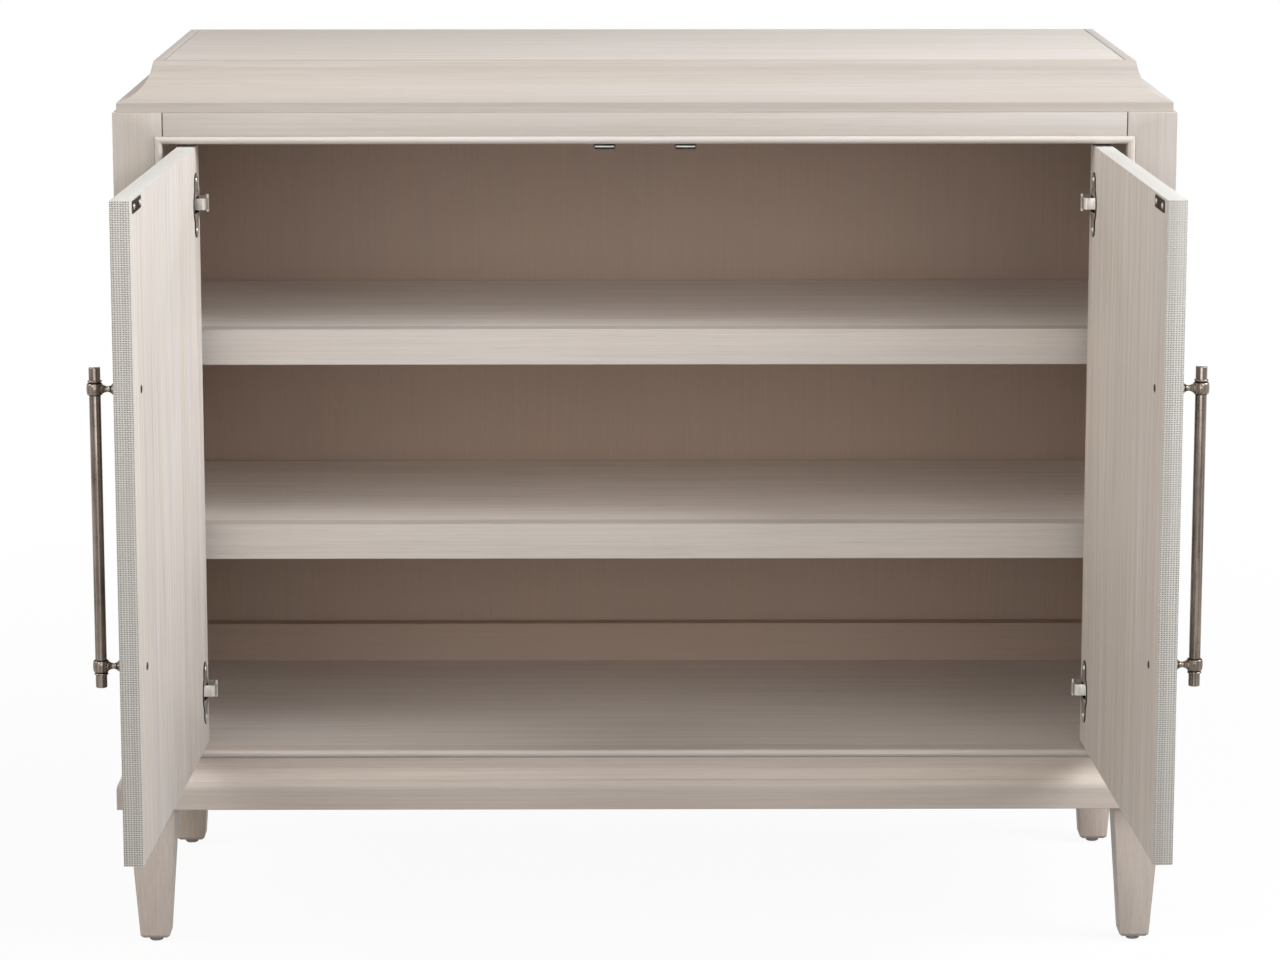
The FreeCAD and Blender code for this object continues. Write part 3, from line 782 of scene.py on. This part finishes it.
class HALLCHEST_OT_doors(bpy.types.Operator):
    """Wrap the doors in cloth and veneer their inner faces"""

    bl_idname = "hall_chest.doors"
    bl_label = "Doors"

    def execute(self, context):
        props, detail = context.scene.hall_chest_finish, context.scene.hall_chest_detail
        first_seed, veneer_easing = 41, 0.0002
        for seed, side in enumerate(SIDES, first_seed):
            body = side + "_door"
            along, out, up = door_frame(side)
            hinge = next(joint for joint in frame["joints"] if joint["child"] == body)
            place = standing(Vector(hinge["pos_m"]), along, out, up)
            work = cloth_shell("door_wrap_" + side, place, detail)
            cloth = as_piece("door_cloth_" + side, work, body, [FINISH["cloth"], FINISH["painted_light_cloth"]],
                             ["door_wrap_" + side])
            width, deep, height = [span("door_wrap_" + side, way) for way in (along, out, up)]
            # Sizes of cloth cut to cover the front and to turn over the four edges, with the corners cut
            # away; they are worked out here and not used
            width + 2 * deep
            height + 2 * deep
            width * height + 2 * deep * (width + height)
            # The inner face's wash is scaled by painted light
            wash = Vector(props.wash) * PAINTED_LIGHT_SCALE["door_" + side]
            veneer = washed_wood("wood_door_" + side, "Z", seed, wash, props.wood, contrast=1.25,
                                 tinge=0.45, gloss=0.2)
            edge = washed_wood("worn_edge_door_" + side, "Z", seed, props.wash, props.wood, rub=EDGE_RUB)
            work = merged("door_veneer_" + side)
            eased(work, veneer_easing, shortest=0.02)
            as_piece("door_inner_" + side, work, body, [veneer, edge], ["door_veneer_" + side])
            recolour("door_core_" + side, FINISH["board"])
        return {"FINISHED"}


def post_radius(far):
    """Radius of a post at a distance from the door: tapered foot, trumpet, neck and swell."""
    foot, neck_at, swell_length = 0.0084, 0.0130, 0.0050
    neck, flare, swell, taper = 0.00285, 0.0024, 0.0020, 0.0009
    if far < foot:
        return neck + flare + taper * (1.0 - far / foot)
    if far < neck_at:
        return neck + flare * ((neck_at - far) / (neck_at - foot)) ** 2
    return neck + min(swell, swell * ((far - neck_at) / swell_length) ** 2)


def post_profile(reach):
    """Outline of a post from the door to inside its collar, as (radius, distance from the door)."""
    foot, gap, start, steps = 0.0060, 0.0002, 0.0006, 26
    stops = [start + (reach - start) * i / steps for i in range(steps + 1)]
    return [(0.0, gap), (foot, gap)] + [(post_radius(far), far) for far in stops] + [(0.0, reach)]


def collar_profile():
    """Outline of a collar: flat end, barrel, groove and bead, as (radius, height along the bar)."""
    end, end_at, barrel, swell, half_barrel = 0.0058, 0.00625, 0.0063, 0.0016, 0.0056
    groove, groove_low, groove_high = 0.00575, 0.0057, 0.0065
    bead, bead_middle = 0.00105, (0.0058, 0.00755)
    turns = [math.radians(turn) for turn in range(-88, 89, 11)]
    outline = [(0.0, -end_at), (end, -end_at), (end, -groove_low)]
    outline += [(barrel + swell * math.cos(turn) ** 0.7, half_barrel * math.sin(turn)) for turn in turns]
    outline += [(groove, groove_low), (groove, groove_high)]
    outline += arc(bead_middle, bead, -75.0, 90.0, 8)
    return outline + [(0.0, bead_middle[1] + bead)]


class HALLCHEST_OT_pulls(bpy.types.Operator):
    """Turn the bars, posts and collars of the pulls"""

    bl_idname = "hall_chest.pulls"
    bl_label = "Pulls"

    def execute(self, context):
        detail = context.scene.hall_chest_detail
        bar_round, post_short, door_thickness = 0.0011, 0.0040, 0.019
        groove_low, groove_high, foot_shadow_reach = 0.0052, 0.0066, 0.0008
        head_size, head_sink = (0.0041, 0.0012), 0.0004
        for side in SIDES:
            body = side + "_door"
            along, out, up = door_frame(side)
            low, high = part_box("pull_bar_" + side)
            center = (low + high) / 2
            radius, half = (high.x - low.x) / 2, (high.z - low.z) / 2
            tip = arc((radius - bar_round, half - bar_round), bar_round, 0.0, 90.0, 5)
            profile = [(0.0, -half)] + [(r, -z) for r, z in reversed(tip)] + tip + [(0.0, half)]
            work = bmesh.new()
            lathe(work, profile, Matrix.Translation(center), steps=56)
            as_piece("pull_rod_" + side, work, body, [FINISH["pull"]], ["pull_bar_" + side])

            posts = {way: center + up * (way * detail.post_spacing / 2) for way in (-1.0, 1.0)}
            work = bmesh.new()
            for way, spot in posts.items():
                lathe(work, collar_profile(), standing(spot, along, out, up * way))
                foot = spot - out * detail.standoff
                lathe(work, post_profile(detail.standoff - post_short),
                      standing(foot, along, out.cross(along), out))
            # The collars' grooves take dark patina, and the ring where each post meets the door takes it as
            # a painted contact shadow
            for face in work.faces:
                spot = face.calc_center_median() - center
                rise = abs(abs(spot.dot(up)) - detail.post_spacing / 2)
                if groove_low < rise < groove_high or spot.dot(out) < foot_shadow_reach - detail.standoff:
                    face.material_index = 1
            as_piece("pull_mounts_" + side, work, body, [FINISH["pull"], FINISH["groove"]],
                     ["pull_posts_" + side])

            inward = detail.standoff + door_thickness - head_sink
            spots = [(spot - out * inward, -out) for spot in posts.values()]
            screws("pull_screw_heads_" + side, body, spots, head_size, "bronze")
            recolour("pull_screws_" + side, FINISH["zinc"])
        return {"FINISHED"}


class HALLCHEST_OT_hinges(bpy.types.Operator):
    """Dress the cups, pins, arms and plates of the hinges"""

    bl_idname = "hall_chest.hinges"
    bl_label = "Hinges"

    def execute(self, context):
        width = context.scene.hall_chest_detail.metal_easing * 1.6
        half_flange, screw_shift, screw_size = 0.0335, 0.026, (0.0033, 0.0010)
        steep = 0.35
        for side in SIDES:
            door = side + "_door"
            along, out, up = door_frame(side)
            for part, body, finish in (("hinge_cups", door, "hinge"), ("hinge_pins", door, "pivot"),
                                       ("hinge_arms", "case", "hinge"), ("hinge_plates", "case", "hinge")):
                node = part + "_" + side
                work = merged(node)
                eased(work, width, shortest=0.0008)
                # The broken edges and the walls of the cups take the dark finish: painted shade, a dark
                # outline round each part
                for face in work.faces:
                    if part == "hinge_cups" and abs(face.normal.dot(out)) < steep:
                        face.material_index = 1
                as_piece(node + ".dressed", work, body, [FINISH[finish], FINISH["groove"]], [node])
            low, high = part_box("hinge_cups_" + side)
            inner = min(out.dot(vert.co) for vert in frame["nodes"]["hinge_cups_" + side].data.vertices)
            center = (low + high) / 2
            center -= out * (out.dot(center) - inner - LET_IN)
            middles = [Vector((center.x, center.y, level))
                       for level in (low.z + half_flange, high.z - half_flange)]
            work = bmesh.new()
            for middle in middles:
                for way in (-1.0, 1.0):
                    cup_cover(work, standing(middle, along, out, up), way)
            bmesh.ops.recalc_face_normals(work, faces=work.faces)
            as_piece("hinge_covers_" + side, work, door, [FINISH["hinge"]])
            spots = [(middle + up * shift, -out)
                     for middle in middles for shift in (-screw_shift, screw_shift)]
            screws("hinge_screws_" + side, door, spots, screw_size, "screw")
        return {"FINISHED"}


def catch_bar(work, side, rise, half, inset, proud, deep):
    """Add a bar across the face of a catch, at a height from its middle."""
    low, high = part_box("catch_" + side)
    level = (low.z + high.z) / 2 + rise
    block(work, (low.x + inset, low.y - proud, level - half), (high.x - inset, low.y + deep, level + half),
          width=0.0001)


class HALLCHEST_OT_catches(bpy.types.Operator):
    """Dress the catches and their strikes"""

    bl_idname = "hall_chest.catches"
    bl_label = "Catches"

    def execute(self, context):
        width = context.scene.hall_chest_detail.metal_easing
        keeper_rise, screw_shift, screw_size = 0.0018, 0.018, (0.0030, 0.0009)
        for side in SIDES:
            work = merged("catch_" + side)
            eased(work, width, shortest=0.002)
            as_piece("catch_case_" + side, work, "case", [FINISH["magnet"]] * 2,
                     ["catch_" + side])
            work = bmesh.new()
            # Keeper bars either side of the magnet, dark to paint the shade of the slots beside them
            for rise in (-keeper_rise, keeper_rise):
                catch_bar(work, side, rise, half=0.0010, inset=0.0018, proud=0.0004, deep=0.0044)
            as_piece("catch_keepers_" + side, work, "case", [FINISH["groove"]])
            work = bmesh.new()
            catch_bar(work, side, 0.0, half=0.0008, inset=0.0024, proud=0.0001, deep=0.0046)
            as_piece("catch_magnet_" + side, work, "case", [FINISH["zinc"]])
            work = merged("strike_" + side)
            eased(work, width)
            as_piece("strike_plate_" + side, work, side + "_door", [FINISH["bronze"]] * 2,
                     ["strike_" + side])
            along, out, _ = door_frame(side)
            low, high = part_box("strike_" + side)
            center = (low + high) / 2 - out * (span("strike_" + side, out) / 2 - LET_IN)
            spots = [(center + along * shift, -out) for shift in (-screw_shift, screw_shift)]
            screws("strike_screws_" + side, side + "_door", spots, screw_size, "screw")
        return {"FINISHED"}


class HALLCHEST_OT_fixings(bpy.types.Operator):
    """Dress the glides, bolts and shelf pins"""

    bl_idname = "hall_chest.fixings"
    bl_label = "Fixings"

    def execute(self, context):
        width = context.scene.hall_chest_detail.metal_easing
        for node, finish, slot in (("glides", "glide", "glide_plastic"), ("leg_bolts", "zinc", "zinc"),
                                   ("shelf_pins", "zinc", "zinc")):
            work = merged(node)
            eased(work, width)
            as_piece(node + ".dressed", work, "case", [FINISH[finish]] * 2, [node])
        return {"FINISHED"}


def seen(paint):
    """One on rays from the camera and on mirrored and see-through rays, and nought on the rest."""
    camera, mirrored, through = [paint.add("ShaderNodeLightPath", output="Is %s Ray" % kind)
                                 for kind in ("Camera", "Glossy", "Transmission")]
    return camera.math("MAXIMUM", mirrored).math("MAXIMUM", through)


def lay_floor():
    """A pale floor that looks white, keeps the chest's shadow and throws little light back."""
    half = 9.0
    mesh = bpy.data.meshes.new("floor")
    mesh.from_pydata([(-half, -half, 0), (half, -half, 0), (half, half, 0), (-half, half, 0)], [],
                     [(0, 1, 2, 3)])
    paint = Paint(bpy.data.materials.new("pale_floor"))
    x, y, _ = paint.place()
    dust = paint.noise((x, y, 0.0), (3.0, 3.0, 1.0), detail=3.0)
    pale = paint.mix(dust * 0.2, (0.86, 0.85, 0.84), (0.80, 0.79, 0.78))
    bounce = (0.16, 0.15, 0.14)
    lit = paint.add("ShaderNodeBsdfDiffuse", {}, {"Color": paint.mix(seen(paint), bounce, pale)})
    white = paint.add("ShaderNodeEmission", {}, {"Color": WHITE, "Strength": 1.0})
    away = (x * x + y * y) ** 0.5
    share = paint.fade(away, 0.9, 3.2, 0.94, 1.0)
    mixed = paint.add("ShaderNodeMixShader", {}, {0: seen(paint) * share, 1: lit, 2: white})
    paint.add("ShaderNodeOutputMaterial", {}, {"Surface": mixed}, None)
    mesh.materials.append(paint.holder)
    in_scene("floor", mesh)


def light_room(room):
    """White behind the chest, and a little even light on it."""
    world = bpy.data.worlds.new("studio")
    bpy.context.scene.world = world
    paint = Paint(world)
    strength = seen(paint) * (1.0 - room) + room
    back = paint.add("ShaderNodeBackground", {}, {"Color": WHITE, "Strength": strength})
    paint.add("ShaderNodeOutputWorld", {}, {"Surface": back}, None)


def hang_lamp(name, place, aim, size, colour, power):
    """A soft lamp, turned to a height over the middle of the floor."""
    data = bpy.data.lights.new(name, "AREA")
    data.color = colour
    data.shape = "RECTANGLE"
    data.size, data.size_y = size
    data.energy = power
    lamp = in_scene(name, data)
    lamp.location = place
    lamp.rotation_euler = (Vector((0.0, 0.0, aim)) - Vector(place)).to_track_quat("-Z", "Y").to_euler()


class HALLCHEST_OT_stage(bpy.types.Operator):
    """Set the floor, the studio light and the camera"""

    bl_idname = "hall_chest.stage"
    bl_label = "Stage"

    def execute(self, context):
        scene = context.scene
        stage = scene.hall_chest_stage
        scene.view_settings.view_transform = "Standard"
        lay_floor()
        light_room(stage.room)
        for name, (place, aim, size, colour) in LAMPS.items():
            hang_lamp(name, place, aim, size, colour, getattr(stage, name))
        data = bpy.data.cameras.new("camera")
        data.sensor_fit = "HORIZONTAL"
        data.sensor_width = 36.0
        data.lens = stage.lens
        camera = in_scene("camera", data)
        camera.location = stage.camera_place
        camera.rotation_euler = (math.pi / 2 - stage.camera_dip, 0.0, stage.camera_turn)
        scene.camera = camera
        return {"FINISHED"}


class HALLCHEST_PT_panel(bpy.types.Panel):
    """Lists the steps that dress the chest"""

    bl_idname = "HALLCHEST_PT_panel"
    bl_label = "Hall Chest"
    bl_space_type = "VIEW_3D"
    bl_region_type = "UI"
    bl_category = "Hall Chest"

    def draw(self, context):
        layout = self.layout
        for operator in OPERATORS:
            layout.operator(operator.bl_idname)
        for group in GROUPS:
            settings = getattr(context.scene, group)
            box = layout.box()
            for name in settings.bl_rna.properties.keys():
                if name not in ("rna_type", "name"):
                    box.prop(settings, name)


GROUPS = {"hall_chest_finish": ChestFinish, "hall_chest_detail": ChestDetail,
          "hall_chest_stage": ChestStage}
OPERATORS = (HALLCHEST_OT_finishes, HALLCHEST_OT_case, HALLCHEST_OT_doors, HALLCHEST_OT_pulls,
             HALLCHEST_OT_hinges, HALLCHEST_OT_catches, HALLCHEST_OT_fixings, HALLCHEST_OT_stage)


def register():
    for kind in (*GROUPS.values(), *OPERATORS, HALLCHEST_PT_panel):
        bpy.utils.register_class(kind)
    for name, kind in GROUPS.items():
        setattr(bpy.types.Scene, name, bpy.props.PointerProperty(type=kind))


def unregister():
    for name in GROUPS:
        delattr(bpy.types.Scene, name)
    for kind in reversed((*GROUPS.values(), *OPERATORS, HALLCHEST_PT_panel)):
        bpy.utils.unregister_class(kind)


def main():
    register()
    for operator in OPERATORS:
        group, name = operator.bl_idname.split(".")
        getattr(getattr(bpy.ops, group), name)()


if __name__ == "__main__":
    main()
